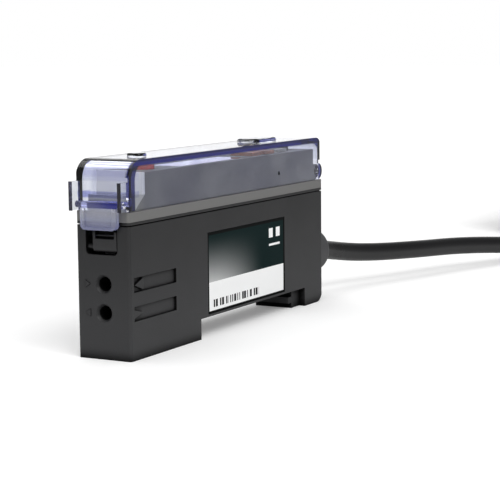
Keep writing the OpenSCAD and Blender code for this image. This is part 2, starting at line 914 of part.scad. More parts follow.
// Smooth curve through the route's points, and a tube swept along it
function route_at(p, i) = p[max(0, min(len(p) - 1, i))];
function curve_point(p, i, t) =
    let (a = route_at(p, i - 1), b = p[i], c = route_at(p, i + 1), d = route_at(p, i + 2))
    0.5 * (2 * b + (c - a) * t + (2 * a - 5 * b + 4 * c - d) * t * t
        + (3 * b - a - 3 * c + d) * t * t * t);
function curve(p, n) = concat(
    [for (i = [0:len(p) - 2], k = [0:n - 1]) curve_point(p, i, k / n)], [p[len(p) - 1]]);
function unit(v) = v / norm(v);
function heading(p, i, first) =
    i == 0 ? first : unit(route_at(p, i + 1) - route_at(p, i - 1));
function ring(p, i, r, n, first) =
    let (h = heading(p, i, first), s = unit(cross([0, 0, 1], h)), u = cross(h, s))
    [for (k = [0:n - 1]) p[i] + r * (cos((k + 0.5) * 360 / n) * s
        + sin((k + 0.5) * 360 / n) * u)];

module swept_tube(p, r, n, first) {
    last = len(p) - 1;
    points = [for (i = [0:last]) each ring(p, i, r, n, first)];
    sides = [for (i = [0:last - 1], k = [0:n - 1])
        [i * n + k, i * n + (k + 1) % n, (i + 1) * n + (k + 1) % n, (i + 1) * n + k]];
    start = [for (k = [n - 1:-1:0]) k];
    end = [for (k = [0:n - 1]) last * n + k];
    polyhedron(points, concat([start], sides, [end]), convexity = 10);
}

module cable() {
    color("#232426") swept_tube(curve(ROUTE, 2), cable_r, 8, [1, 0, 0]);
}

// Section of the coil's turns, from the inner turns outwards
module coil_section() {
    translate([coil_in, coil_h / 2]) round_plan(coil_w, coil_h, cable_r - 0.01);
}

// Half of the turns at one end of the coil: s points to that end
module coil_end(s) {
    translate([s * coil_run / 2, 0, 0]) intersection() {
        rotate_extrude() coil_section();
        translate([s > 0 ? 0 : -2 * coil_out, -2 * coil_out, -cut])
            cube([2 * coil_out, 4 * coil_out, coil_h + 2 * cut]);
    }
}

// Outer shape of the coiled length, an oval with a bed for the cable that comes in
module cable_coil() {
    color("#232426") translate([coil_x, coil_y, 0]) difference() {
        union() {
            for (s = [-1, 1]) {
                coil_end(s);
                translate([-coil_run / 2, 0, 0]) rotate([90, 0, 90]) linear_extrude(coil_run)
                    translate([s > 0 ? 0 : -2 * coil_mid, 0]) coil_section();
            }
        }
        translate([-coil_run / 2 - coil_out, cable_r - coil_out, cable_r])
            rotate([0, 90, 0]) cylinder(r = cable_r + groove_gap, h = coil_out);
        for (s = [-1, 1]) tie_band(s, tie_gap);
    }
}

// Waste of the seat that a tie has in a run of the coil
module tie_band(s, gap) {
    translate([0, s * coil_mid, coil_h / 2]) rotate([90, 0, 90])
        translate([0, 0, -tie_w / 2 - gap]) linear_extrude(tie_w + 2 * gap) difference() {
            square([coil_w + cut, coil_h + cut], center = true);
            square([coil_w - 2 * tie_t - 2 * gap, coil_h - 2 * tie_t - 2 * gap],
                center = true);
        }
}

// Flat band round a run of the coil
module tie(s) {
    translate([coil_x, coil_y + s * coil_mid, coil_h / 2]) rotate([90, 0, 90])
        translate([0, 0, -tie_w / 2]) linear_extrude(tie_w) difference() {
            square([coil_w - tie_sink, coil_h - tie_sink], center = true);
            square([coil_w - 2 * tie_t, coil_h - 2 * tie_t], center = true);
        }
}

module coil_tie() {
    color("#d8d8d6") tie(-1);
}

module coil_tie_far() {
    color("#d8d8d6") tie(1);
}

module cable_tail() {
    color("#232426") swept_tube(curve(TAIL_ROUTE, 2), cable_r, 8, [-1, 0, 0]);
}

// Stripped core at the bare end of the cable, fanned out on the floor
module core(i) {
    s = [-1, -1, 1, 1][i];
    t = [1, -1, -1, 1][i];
    translate([coil_x + tail_x - tail_l - core_gap,
        coil_y + tail_y - tail_swing + s * core_pitch / 2, cable_r + t * core_pitch / 2])
        rotate([0, -90, core_turn + (1.5 - i) * core_fan])
            cylinder(d = core_d, h = core_l);
}

module core_brown() {
    color("#6b4226") core(0);
}

module core_blue() {
    color("#2b4f9e") core(1);
}

module core_black() {
    color("#202022") core(2);
}

module core_white() {
    color("#e6e6e4") core(3);
}

housing();
label_plate();
top_panel();
dust_cover();
fibre_lever();
fibre_clamp();
optical_block();
emitter_led();
receiver_diode();
main_board();
microcontroller();
output_driver();
display_board();
digit_display();
display_window();
output_indicator();
light_guide();
plus_key();
minus_key();
set_key();
plus_contact();
minus_contact();
set_contact();
mode_switch();
mode_knob();
cable_gland();
lead_brown();
lead_blue();
lead_black();
lead_white();
cable();
cable_coil();
coil_tie();
coil_tie_far();
cable_tail();
core_brown();
core_blue();
core_black();
core_white();
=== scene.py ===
"""Dresses the packed fibre optic sensor amplifier: its cable, finishes, camera and studio."""

import math

import bpy
import numpy as np
from mathutils import Matrix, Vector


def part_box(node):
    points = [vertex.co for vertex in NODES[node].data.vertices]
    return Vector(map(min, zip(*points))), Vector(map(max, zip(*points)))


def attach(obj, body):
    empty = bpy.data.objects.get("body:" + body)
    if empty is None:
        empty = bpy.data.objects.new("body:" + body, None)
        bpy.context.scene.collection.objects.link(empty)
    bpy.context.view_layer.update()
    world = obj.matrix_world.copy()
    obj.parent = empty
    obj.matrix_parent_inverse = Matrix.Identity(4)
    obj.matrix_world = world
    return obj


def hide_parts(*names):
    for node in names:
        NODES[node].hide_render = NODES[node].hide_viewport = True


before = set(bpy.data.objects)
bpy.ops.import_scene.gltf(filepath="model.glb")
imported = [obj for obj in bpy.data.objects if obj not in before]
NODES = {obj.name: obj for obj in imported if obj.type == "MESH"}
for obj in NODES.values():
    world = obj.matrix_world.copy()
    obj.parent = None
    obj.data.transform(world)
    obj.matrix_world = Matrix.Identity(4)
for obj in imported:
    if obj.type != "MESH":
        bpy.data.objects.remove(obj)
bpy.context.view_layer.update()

bl_info = {
    "name": "Fibre sensor amplifier",
    "version": (1, 0, 0),
    "blender": (4, 5, 0),
    "location": "View3D > Sidebar > Amplifier",
    "description": "Finishes, cable and studio for a fibre optic sensor amplifier",
    "category": "Object",
}

MM = 0.001

# Route of the cable in mm, about as in the part's source: the loose length from the gland, as
# shares of its reach, then the oval coil, then the tail that sinks to the floor inside it
CABLE_START = np.array([38.0, 0.0, 9.2])
LOOSE_REACH = np.array([121.9, -26.45, -7.35])
LOOSE_SHARES = np.array([
    [0, 0, 0], [0.05, 0.011, 0.14], [0.116, 0.083, 0.31], [0.183, 0.189, 0.41],
    [0.266, 0.325, 0.476], [0.357, 0.452, 0.54], [0.424, 0.57, 0.61],
    [0.49, 0.695, 0.71], [0.573, 0.808, 0.85], [0.664, 0.897, 0.95],
    [0.764, 0.957, 0.993], [0.864, 0.991, 0.98], [0.947, 1, 0.98]])
COIL_CENTRE = np.array([189.4, -11.65])
COIL_RUN = 53.0
COIL_PITCH = 3.55
COIL_FIRST_Z = 2.0
COIL_INNER_R = 11.1
COIL_TURNS = 9.5
# Turns at which the coil changes its ring or climbs a row, and how much of a turn that takes
RING_STEPS = np.array([0.5, 2.4, 4.3, 6.2, 8.1])
RING_SIGNS = np.array([-1, 1, -1, 1, -1])
RISE_STEPS = np.array([1.45, 3.35, 5.25, 7.15, 9.05])
STEP_TURNS = 0.17
TAIL_REACH = np.array([45.0, -4.65, -17.9])

# The cores in mm: their reach, and how far they spread and drift on the way
CORE_REACH = 16.0
CORE_SPREAD = 2.2
CORE_DRIFT = -5.2
CORE_OFFSET = 0.7
CORE_COLOURS = (("brown", (0.16, 0.06, 0.02)), ("blue", (0.03, 0.08, 0.34)),
                ("black", (0.015, 0.015, 0.016)), ("white", (0.78, 0.78, 0.76)))

CAMERA_PLACE = (-0.24208, -0.139548, 0.049221)


class CordSizes(bpy.types.PropertyGroup):
    """Sizes of the cable and of the pieces on it."""

    diameter: bpy.props.FloatProperty(
        name="Cable diameter", description="Outside diameter of the jacket, in mm",
        default=3.7, min=3.0, max=4.5)
    core_diameter: bpy.props.FloatProperty(
        name="Core diameter", description="Diameter of an insulated core, in mm",
        default=1.2, min=0.8, max=1.6)
    strip_length: bpy.props.FloatProperty(
        name="Stripped length", description="Bare wire at the end of a core, in mm",
        default=5.0, min=2.0, max=10.0)
    tie_width: bpy.props.FloatProperty(
        name="Tie width", description="Width of the band round the coil, in mm",
        default=3.0, min=2.0, max=5.0)


class Finishes(bpy.types.PropertyGroup):
    """Colours of the visible finishes."""

    case: bpy.props.FloatVectorProperty(
        name="Case", description="Moulded case", subtype="COLOR", size=3,
        default=(0.0305, 0.0307, 0.0322), min=0, max=1)
    panel: bpy.props.FloatVectorProperty(
        name="Panel", description="Grey display panel", subtype="COLOR", size=3,
        default=(0.145, 0.144, 0.142), min=0, max=1)
    cable: bpy.props.FloatVectorProperty(
        name="Cable", description="Cable jacket", subtype="COLOR", size=3,
        default=(0.009, 0.009, 0.0098), min=0, max=1)
    label_dark: bpy.props.FloatVectorProperty(
        name="Label field", description="Dark field of the label", subtype="COLOR", size=3,
        default=(0.0045, 0.0145, 0.0148), min=0, max=1)
    label_pale: bpy.props.FloatVectorProperty(
        name="Label strip", description="Pale strip of the label", subtype="COLOR", size=3,
        default=(0.9, 0.905, 0.905), min=0, max=1)
    indicator: bpy.props.FloatVectorProperty(
        name="Indicator", description="Indicator lens", subtype="COLOR", size=3,
        default=(0.8, 0.05, 0.05), min=0, max=1)


class StudioSetup(bpy.types.PropertyGroup):
    """Camera, light and floor."""

    lens: bpy.props.FloatProperty(
        name="Lens", description="Focal length for a 36 mm sensor", default=114.47, unit="CAMERA")
    yaw: bpy.props.FloatProperty(
        name="Yaw", description="Direction of view from the X axis", subtype="ANGLE",
        default=math.radians(28.771))
    pitch: bpy.props.FloatProperty(
        name="Pitch", description="Downward tilt of the view", subtype="ANGLE",
        default=math.radians(7.335))
    roll: bpy.props.FloatProperty(
        name="Roll", description="Turn about the line of sight", subtype="ANGLE",
        default=math.radians(-0.552))
    world: bpy.props.FloatProperty(
        name="Sky", description="Strength of the even studio light", default=0.5, min=0, max=2)
    mirrored: bpy.props.FloatProperty(
        name="Light in gloss", description="Share of sky and floor that glossy faces mirror",
        default=0.64, min=0, max=1)
    floor_lift: bpy.props.FloatProperty(
        name="Floor lift", description="Extra white on the floor where it is looked at",
        default=0.18, min=0, max=1)
    key: bpy.props.FloatProperty(
        name="Key lamp", description="Power of the large lamp", subtype="POWER",
        default=5.2, min=0)


# Mesh work

def add_mesh(name, points, faces, uv=None, smooth=True):
    """Object whose mesh has these points, in mm, and faces; uv gives a pair for each point."""
    mesh = bpy.data.meshes.new(name)
    mesh.from_pydata((np.asarray(points) * MM).tolist(), [], [tuple(f) for f in faces])
    if uv is not None:
        corner = np.zeros(len(mesh.loops), np.int32)
        mesh.loops.foreach_get("vertex_index", corner)
        mesh.uv_layers.new(name="run").data.foreach_set("uv", np.asarray(uv)[corner].ravel())
    mesh.polygons.foreach_set("use_smooth", [smooth] * len(mesh.polygons))
    mesh.update()
    piece = bpy.data.objects.new(name, mesh)
    bpy.context.scene.collection.objects.link(piece)
    return piece


def grid_quads(rows, cols, close_rows=False):
    """Faces of a grid whose columns are closed on themselves, and its rows too if asked."""
    i, j = np.meshgrid(np.arange(rows if close_rows else rows - 1), np.arange(cols), indexing="ij")
    k, m = (i + 1) % rows, (j + 1) % cols
    return np.stack([i * cols + j, i * cols + m, k * cols + m, k * cols + j], -1).reshape(-1, 4)


def along(path):
    """Distance along a path at each of its points."""
    return np.concatenate([[0], np.cumsum(np.linalg.norm(np.diff(path, axis=0), axis=1))])


def side_and_up(path):
    """Unit vectors across a path: level ones at right angles to it, and those above them."""
    ahead = np.gradient(path, axis=0)
    ahead /= np.linalg.norm(ahead, axis=1, keepdims=True)
    side = np.cross([0.0, 0.0, 1.0], ahead)
    side /= np.linalg.norm(side, axis=1, keepdims=True)
    return side, np.cross(ahead, side)


def tube(name, path, radius, sides):
    """Round tube: p(s, a) = path(s) + r(s) (cos a side(s) + sin a up(s)), with flat ends."""
    side, up = side_and_up(path)
    a = np.arange(sides) * 2 * np.pi / sides
    r = np.broadcast_to(radius, len(path))[:, None, None]
    rings = path[:, None] + r * (
        np.cos(a)[None, :, None] * side[:, None] + np.sin(a)[None, :, None] * up[:, None])
    n = len(path)
    faces = [*grid_quads(n, sides).tolist(), list(range(sides))[::-1],
             list(range((n - 1) * sides, n * sides))]
    uv = np.stack(np.broadcast_arrays(along(path)[:, None], a[None] / (2 * np.pi)), -1)
    return add_mesh(name, rings.reshape(-1, 3), faces, uv.reshape(-1, 2))


def smooth_line(points, steps):
    """Smooth curve through points: on each span a cubic whose slopes are half the distance
    between its neighbours."""
    p = np.concatenate([points[:1], points, points[-1:]])
    t = (np.arange(steps) / steps)[None, :, None]
    a, b, c, d = (p[i:len(p) - 3 + i, None] for i in range(4))
    curve = 0.5 * (2 * b + (c - a) * t + (2 * a - 5 * b + 4 * c - d) * t ** 2
                   + (3 * b - a - 3 * c + d) * t ** 3)
    return np.concatenate([curve.reshape(-1, 3), points[-1:]])


def eased(x):
    """0 below 0, 1 above 1, and a smooth cubic step between."""
    x = np.clip(x, 0, 1)
    return x * x * (3 - 2 * x)


# Finishes

def new_group(name, inputs, outputs):
    """Empty shader node group with float or vector inputs and outputs, and its two ends."""
    group = bpy.data.node_groups.new(name, "ShaderNodeTree")
    for label, kind, value in inputs:
        socket = group.interface.new_socket(label, in_out="INPUT", socket_type=kind)
        if value is not None:
            socket.default_value = value
    for label, kind in outputs:
        group.interface.new_socket(label, in_out="OUTPUT", socket_type=kind)
    return group, group.nodes.new("NodeGroupInput"), group.nodes.new("NodeGroupOutput")


def node(tree, kind, links=None, **settings):
    """Node of a kind; settings name attributes, links name inputs as sockets or values."""
    made = tree.nodes.new("ShaderNode" + kind)
    for key, value in settings.items():
        setattr(made, key, value)
    for key, value in (links or {}).items():
        if isinstance(value, bpy.types.NodeSocket):
            tree.links.new(value, made.inputs[key])
        else:
            made.inputs[key].default_value = value
    return made


def maths(tree, operation, *values):
    """Result of a sum on sockets and numbers."""
    return node(tree, "Math", dict(enumerate(values)), operation=operation).outputs[0]


def ramp(tree, value, low, high, start=0.0, stop=1.0):
    """Smooth change from start to stop while a value goes from low to high."""
    return node(tree, "MapRange", {"Value": value, "From Min": low, "From Max": high,
                                   "To Min": start, "To Max": stop},
                interpolation_type="SMOOTHSTEP").outputs[0]


def within(tree, value, low, high):
    """1 where a value lies between two limits."""
    centre, half = (low + high) / 2, (high - low) / 2
    return maths(tree, "COMPARE", value, centre, half)


def blend(tree, factor, first, second):
    """Colour between two colours, which are triples or sockets."""
    first, second = ((*c, 1) if isinstance(c, (tuple, list)) else c for c in (first, second))
    mix = node(tree, "Mix", {0: factor}, data_type="RGBA")
    for place, colour in ((6, first), (7, second)):
        if isinstance(colour, bpy.types.NodeSocket):
            tree.links.new(colour, mix.inputs[place])
        else:
            mix.inputs[place].default_value = colour
    return mix.outputs[2]


def moulded_grain():
    """Group: fine spark-eroded grain as a height, and slow patches as a tone round 1."""
    if "moulded grain" in bpy.data.node_groups:
        return bpy.data.node_groups["moulded grain"]
    group, start, end = new_group(
        "moulded grain",
        [("Vector", "NodeSocketVector", None), ("Grain", "NodeSocketFloat", 4000.0),
         ("Patch", "NodeSocketFloat", 90.0), ("Spread", "NodeSocketFloat", 0.12)],
        [("Height", "NodeSocketFloat"), ("Tone", "NodeSocketFloat"), ("Rub", "NodeSocketFloat")])
    fine = node(group, "TexNoise", {"Vector": start.outputs["Vector"],
                                    "Scale": start.outputs["Grain"], "Detail": 2.0})
    slow = node(group, "TexNoise", {"Vector": start.outputs["Vector"],
                                    "Scale": start.outputs["Patch"], "Detail": 3.0})
    centred = node(group, "Math", {0: slow.outputs["Fac"], 1: 0.5}, operation="SUBTRACT")
    scaled = node(group, "Math", {0: centred.outputs[0], 1: start.outputs["Spread"]},
                  operation="MULTIPLY")
    tone = node(group, "Math", {0: scaled.outputs[0], 1: 1.0}, operation="ADD")
    group.links.new(fine.outputs["Fac"], end.inputs["Height"])
    group.links.new(tone.outputs[0], end.inputs["Tone"])
    group.links.new(slow.outputs["Fac"], end.inputs["Rub"])
    return group


def new_material(name):
    """Material with a Principled shader on its output: its tree and that shader."""
    material = bpy.data.materials.new(name)
    material.use_nodes = True
    tree = material.node_tree
    shader = tree.nodes["Principled BSDF"]
    return material, tree, shader


def object_place(tree):
    """The point on the piece, in metres in the shared frame."""
    return node(tree, "TexCoord").outputs["Object"]


def moulded(name, colour, rough=0.5, grain=4000.0, spread=0.12, edge=0.00018, specular=0.5):
    """Moulded plastic: grain in the bump, slow patches in colour and gloss, softened edges."""
    material, tree, shader = new_material(name)
    group = node(tree, "Group", node_tree=moulded_grain())
    tree.links.new(object_place(tree), group.inputs["Vector"])
    group.inputs["Grain"].default_value = grain
    group.inputs["Spread"].default_value = spread
    tinted = node(tree, "VectorMath", {0: colour[:3], 1: group.outputs["Tone"]},
                  operation="MULTIPLY")
    tree.links.new(tinted.outputs[0], shader.inputs["Base Color"])
    gloss = node(tree, "MapRange", {"Value": group.outputs["Rub"], "From Min": 0.3,
                                    "From Max": 0.7, "To Min": rough - 0.05,
                                    "To Max": rough + 0.05})
    tree.links.new(gloss.outputs[0], shader.inputs["Roughness"])
    soft = node(tree, "Bevel", {"Radius": edge}, samples=6)
    bump = node(tree, "Bump", {"Height": group.outputs["Height"], "Distance": 0.00002,
                               "Strength": 0.5, "Normal": soft.outputs[0]})
    tree.links.new(bump.outputs[0], shader.inputs["Normal"])
    shader.inputs["Specular IOR Level"].default_value = specular
    return material


def paint_shade_in_hollows(material, reach=0.0025, least=0.1):
    """Paints shade into a moulded finish, darker and duller in its corners and bores, as far as
    reach, in metres."""
    tree = material.node_tree
    shader = tree.nodes["Principled BSDF"].inputs
    openness = node(tree, "AmbientOcclusion", {"Distance": reach}, samples=8).outputs["AO"]
    share = ramp(tree, openness, 0.4, 0.95, least, 1.0)
    toned = node(tree, "VectorMath", {0: shader["Base Color"].links[0].from_socket, 1: share},
                 operation="MULTIPLY")
    tree.links.new(toned.outputs[0], shader["Base Color"])
    gloss = shader["Specular IOR Level"]
    tree.links.new(maths(tree, "MULTIPLY", share, gloss.default_value), gloss)
    return material


def paint_light_along_axis(material, axis, low, high, start, stop):
    """Paints light and shade into a moulded finish: its tone changes smoothly between two places on
    an axis, in metres.
    """
    tree = material.node_tree
    colour = tree.nodes["Principled BSDF"].inputs["Base Color"]
    place = node(tree, "SeparateXYZ", {0: object_place(tree)}).outputs[axis]
    toned = node(tree, "VectorMath", {0: colour.links[0].from_socket,
                                      1: ramp(tree, place, low, high, start, stop)},
                 operation="MULTIPLY")
    tree.links.new(toned.outputs[0], colour)
    return material


def dress(material, *names):
    """Gives CAD nodes a finish in place of their plain one."""
    for name in names:
        slots = NODES[name].data.materials
        slots.clear()
        slots.append(material)


def dress_faces(mesh, material, chosen):
    """Gives a mesh a further finish on the faces that chosen picks from their middles, in mm."""
    middles = np.array([f.center for f in mesh.polygons]) / MM
    mesh.materials.append(material)
    mesh.polygons.foreach_set("material_index", chosen(middles).astype(np.int32))
    mesh.update()


def clear_plastic(name, colour, rough=0.03, clear=1.0):
    """Clear plastic: a tint on its faces and slow patches in its gloss."""
    material, tree, shader = new_material(name)
    shader.inputs["Base Color"].default_value = (*colour, 1)
    shader.inputs["Transmission Weight"].default_value = clear
    shader.inputs["IOR"].default_value = 1.45
    group = node(tree, "Group", node_tree=moulded_grain())
    tree.links.new(object_place(tree), group.inputs["Vector"])
    group.inputs["Patch"].default_value = 160.0
    gloss = ramp(tree, group.outputs["Rub"], 0.3, 0.7, rough * 0.5, rough * 1.5)
    tree.links.new(gloss, shader.inputs["Roughness"])
    return material


# Operators

class AMPLIFIER_OT_studio(bpy.types.Operator):
    """Camera at the photo's angle, pale floor and soft light"""

    bl_idname = "amplifier.studio"
    bl_label = "Studio"

    def execute(self, context):
        setup = context.scene.amplifier_studio
        scene = context.scene
        scene.view_settings.view_transform = "Standard"
        lens = bpy.data.cameras.new("photo_camera")
        lens.lens, lens.sensor_width = setup.lens, 36.0
        lens.clip_start, lens.clip_end = 0.01, 20.0
        camera = bpy.data.objects.new("photo_camera", lens)
        camera.matrix_world = (
            Matrix.Translation(CAMERA_PLACE)
            @ Matrix.Rotation(setup.yaw - math.pi / 2, 4, "Z")
            @ Matrix.Rotation(math.pi / 2 - setup.pitch, 4, "X")
            @ Matrix.Rotation(setup.roll, 4, "Z"))
        scene.collection.objects.link(camera)
        scene.camera = camera
        self.light(scene, setup)
        self.floor(setup)
        return {"FINISHED"}

    def light(self, scene, setup):
        """Even sky that shows white, a large key lamp and a larger, weaker one over the top."""
        world = bpy.data.worlds.new("studio")
        world.use_nodes = True
        scene.world = world
        tree = world.node_tree
        sky = tree.nodes["Background"]
        sky.inputs["Color"].default_value = (1, 1, 1, 1)
        strength = ramp(tree, self.seen(tree), 0.0, 1.0, setup.world, 1.0)
        # glossy faces find the white backdrop behind the object, and dimmer walls elsewhere
        behind = node(tree, "VectorMath", {0: node(tree, "TexCoord").outputs["Generated"],
                                           1: (math.cos(setup.yaw), math.sin(setup.yaw), 0.0)},
                      operation="DOT_PRODUCT").outputs["Value"]
        strength = maths(tree, "MULTIPLY", strength, self.mirrored(
            tree, ramp(tree, behind, 0.75, 0.95, setup.mirrored, 1 / setup.world)))
        tree.links.new(strength, sky.inputs["Strength"])
        for name, place, turn, size, power in (
                ("key_lamp", (-0.35, -0.55, 0.75), (38, 0, -32), 0.6, setup.key),
                ("top_lamp", (0.1, 0.25, 0.9), (-16, 0, 0), 0.8, setup.key * 0.6)):
            lamp = bpy.data.lights.new(name, "AREA")
            lamp.shape, lamp.size, lamp.energy = "SQUARE", size, power
            lit = bpy.data.objects.new(name, lamp)
            lit.location = place
            lit.rotation_euler = [math.radians(x) for x in turn]
            scene.collection.objects.link(lit)

    def seen(self, tree):
        """1 on rays that show the background: the camera's own and those through clear faces."""
        path = node(tree, "LightPath").outputs
        return maths(tree, "MAXIMUM", path["Is Camera Ray"], path["Is Transmission Ray"])

    def mirrored(self, tree, share):
        """The share of light that a ray from a glossy face finds; 1 for all other rays."""
        ray = node(tree, "LightPath").outputs["Is Glossy Ray"]
        return maths(tree, "MULTIPLY_ADD", ray, maths(tree, "SUBTRACT", share, 1.0), 1.0)

    def floor(self, setup):
        """Flat square sheet below the object, pale, lifted to white where it is looked at."""
        half, paper_white, far_lift = 3000.0, 0.86, 0.65
        mirrored_x, lift_reach = (-0.15, 0.05), (0.1, 0.9)
        corners = np.array([[-1, -1, 0], [1, -1, 0], [1, 1, 0], [-1, 1, 0]]) * half
        sheet = add_mesh("studio_floor", corners, [[0, 1, 2, 3]], smooth=False)
        material, tree, shader = new_material("studio_floor")
        place = node(tree, "SeparateXYZ", {0: object_place(tree)}).outputs["X"]
        share = self.mirrored(tree, ramp(tree, place, *mirrored_x, 1.0, setup.mirrored))
        paper = node(tree, "VectorMath", {0: (paper_white,) * 3, 1: share}, operation="MULTIPLY")
        tree.links.new(paper.outputs[0], shader.inputs["Base Color"])
        shader.inputs["Roughness"].default_value = 0.9
        shader.inputs["Specular IOR Level"].default_value = 0.1
        shader.inputs["Emission Color"].default_value = (1, 1, 1, 1)
        # the lamps light the floor round the object, so more is added farther out
        away = node(tree, "VectorMath", {0: object_place(tree)},
                    operation="LENGTH").outputs["Value"]
        lift = ramp(tree, away, *lift_reach, setup.floor_lift, far_lift)
        tree.links.new(maths(tree, "MULTIPLY", self.seen(tree), lift),
                       shader.inputs["Emission Strength"])
        sheet.data.materials.append(material)


class AMPLIFIER_OT_cable(bpy.types.Operator):
    """Cable from the gland to its coil, with the ties and the four cores"""

    bl_idname = "amplifier.cable"
    bl_label = "Cable"

    def execute(self, context):
        sizes = context.scene.amplifier_cord
        path = self.route()
        cable = tube("cable_run", path, sizes.diameter / 2, 16)
        cable.data.materials.append(self.jacket(context.scene.amplifier_finish.cable))
        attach(cable, "case")
        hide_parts("cable", "cable_coil", "cable_tail")
        nylon = moulded("tie_nylon", (0.7, 0.7, 0.67), 0.42, 2500.0)
        pieces = [self.tie("tie_near", -1, "coil_tie", sizes, nylon),
                  self.tie("tie_far", 1, "coil_tie_far", sizes, nylon),
                  *self.cores(sizes, path[-1])]
        return {"FINISHED"}

    def route(self):
        """Loose length, then oval turns wound row on row, then the tail down to the floor.

        A turn is a straight run, a half circle, a run back and a half circle. Its radius and
        height stay, and change by one pitch in eased steps, each row's a little earlier than the
        last row's, so that no turn runs into its neighbour."""
        points_per_turn, tail_points = 80, 30
        loose = smooth_line(CABLE_START + LOOSE_SHARES * LOOSE_REACH, 6)
        turn = np.linspace(0, COIL_TURNS, int(COIL_TURNS * points_per_turn))
        moved = RING_SIGNS * eased((turn[:, None] - RING_STEPS) / STEP_TURNS)
        radius = COIL_INNER_R + COIL_PITCH * (1 + moved.sum(1))
        climbed = eased((turn[:, None] - RISE_STEPS) / STEP_TURNS)
        height = COIL_FIRST_Z + COIL_PITCH * climbed.sum(1)
        coil = np.concatenate([self.oval(turn, radius), height[:, None]], 1)
        s = np.linspace(0, 1, tail_points)[1:, None]
        sink = np.concatenate([-s, eased(s / 0.4), eased((s - 0.2) / 0.8)], 1)
        return np.concatenate([loose, coil, coil[-1] + sink * TAIL_REACH])

    def oval(self, turn, radius):
        """Plan of an oval after so many turns: along the near run, round the far end, back
        along the other run and round the first end."""
        share = 0.5 * COIL_RUN / (COIL_RUN + np.pi * (COIL_INNER_R + COIL_PITCH / 2))
        part = np.mod(turn, 1.0)
        half = np.mod(part, 0.5)
        side = np.where(part < 0.5, 1.0, -1.0)
        run = np.clip(half / share, 0, 1)
        angle = np.pi * np.clip((half - share) / (0.5 - share), 0, 1)
        x = COIL_RUN * (run - 0.5) + radius * np.sin(angle)
        y = -radius * np.cos(angle)
        return COIL_CENTRE + np.stack([side * x, side * y], 1)

    def jacket(self, colour):
        """Extruded jacket: faint rings along its run, slow patches in its gloss."""
        material, tree, shader = new_material("cable_jacket")
        run = node(tree, "UVMap", uv_map="run").outputs[0]
        group = node(tree, "Group", node_tree=moulded_grain())
        tree.links.new(object_place(tree), group.inputs["Vector"])
        group.inputs["Grain"].default_value = 2600.0
        group.inputs["Patch"].default_value = 120.0
        rings = node(tree, "TexWave", {"Vector": run, "Scale": 0.9, "Distortion": 1.5,
                                       "Detail": 2.0}, bands_direction="X")
        tinted = node(tree, "VectorMath", {0: colour[:3], 1: group.outputs["Tone"]},
                      operation="MULTIPLY")
        tree.links.new(tinted.outputs[0], shader.inputs["Base Color"])
        gloss = node(tree, "MapRange", {"Value": group.outputs["Rub"], "From Min": 0.3,
                                        "From Max": 0.7, "To Min": 0.27, "To Max": 0.39})
        tree.links.new(gloss.outputs[0], shader.inputs["Roughness"])
        mixed = node(tree, "Math", {0: rings.outputs["Fac"], 1: 0.35, 2: group.outputs["Height"]},
                     operation="MULTIPLY_ADD")
        bump = node(tree, "Bump", {"Height": mixed.outputs[0], "Distance": 0.00003,
                                   "Strength": 0.4})
        tree.links.new(bump.outputs[0], shader.inputs["Normal"])
        # painted shade: the upper side mirrors less light, so it looks darker, and the lower side
        # more
        normal = node(tree, "NewGeometry").outputs["Normal"]
        up = node(tree, "SeparateXYZ", {0: normal}).outputs["Z"]
        tree.links.new(ramp(tree, up, -0.1, 0.6, 0.6, 0.12), shader.inputs["Specular IOR Level"])
        return material

    def tie(self, name, side, replaced, sizes, material):
        """Flat band carried round a run of the coil on a rounded oblong."""
        half_w, half_h, corner, thick, steps = 3.7, 11.0, 1.9, 0.55, 96
        t = np.linspace(0, 2 * np.pi, steps, endpoint=False)
        # rounded oblong: a corner's circle, pushed out along the signs of its direction
        ring = np.stack([np.cos(t), np.sin(t)], 1)
        push = np.sign(np.round(ring, 6)) * [half_w - corner, half_h - corner]
        outer = push + corner * ring
        inner = push + (corner - thick) * ring
        x = np.array([-0.5, 0.5, 0.5, -0.5]) * sizes.tie_width
        section = np.stack([outer, outer, inner, inner], 1)
        centre = np.array([COIL_CENTRE[0],
                           COIL_CENTRE[1] + side * (COIL_INNER_R + COIL_PITCH / 2), half_h])
        points = np.stack([np.broadcast_to(x, (steps, 4)), section[..., 0], section[..., 1]], -1)
        band = add_mesh(name, (points + centre).reshape(-1, 3),
                        grid_quads(steps, 4, True)[:, ::-1], smooth=False)
        band.data.materials.append(material)
        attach(band, "case")
        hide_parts(replaced)
        return band

    def cores(self, sizes, start):
        """Four cores that fan out from the jacket and sink to the floor, stripped at their ends:
        y(s) = y0 + spread s + drift s^2 and z(s) = r + (z0 - r) (1 - eased(fall s))."""
        pieces = []
        bare = 1 - sizes.strip_length / CORE_REACH
        sheathed, stripped, copper_share, fall = 15, 6, 0.6, 1.3
        s = np.concatenate([np.linspace(0, bare, sheathed),
                            np.linspace(bare, 1, stripped)])[:, None]
        thin = np.where(np.arange(len(s)) < sheathed, 1.0, copper_share)[:, None]
        r = sizes.core_diameter / 2 * thin
        copper = moulded("core_copper", (0.62, 0.27, 0.13), 0.3, 2500.0)
        copper.node_tree.nodes["Principled BSDF"].inputs["Metallic"].default_value = 1.0
        for i, (name, colour) in enumerate(CORE_COLOURS):
            side, lift = np.array([[-1, 1], [-1, -1], [1, -1], [1, 1]])[i] * CORE_OFFSET
            fan = (i - 1.5) * CORE_SPREAD * s + CORE_DRIFT * s ** 2
            path = np.concatenate([start[0] - CORE_REACH * s, start[1] + side + fan,
                                   r + (start[2] + lift - r) * (1 - eased(s * fall))], 1)
            core = tube("wire_" + name, path, r[:, 0], 10)
            core.data.materials.append(moulded("core_" + name, colour, 0.4, 3000.0))
            dress_faces(core.data, copper, lambda p: p[:, 0] < start[0] - CORE_REACH * bare - 0.01)
            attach(core, "case")
            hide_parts("core_" + name)
            pieces.append(core)
        return pieces


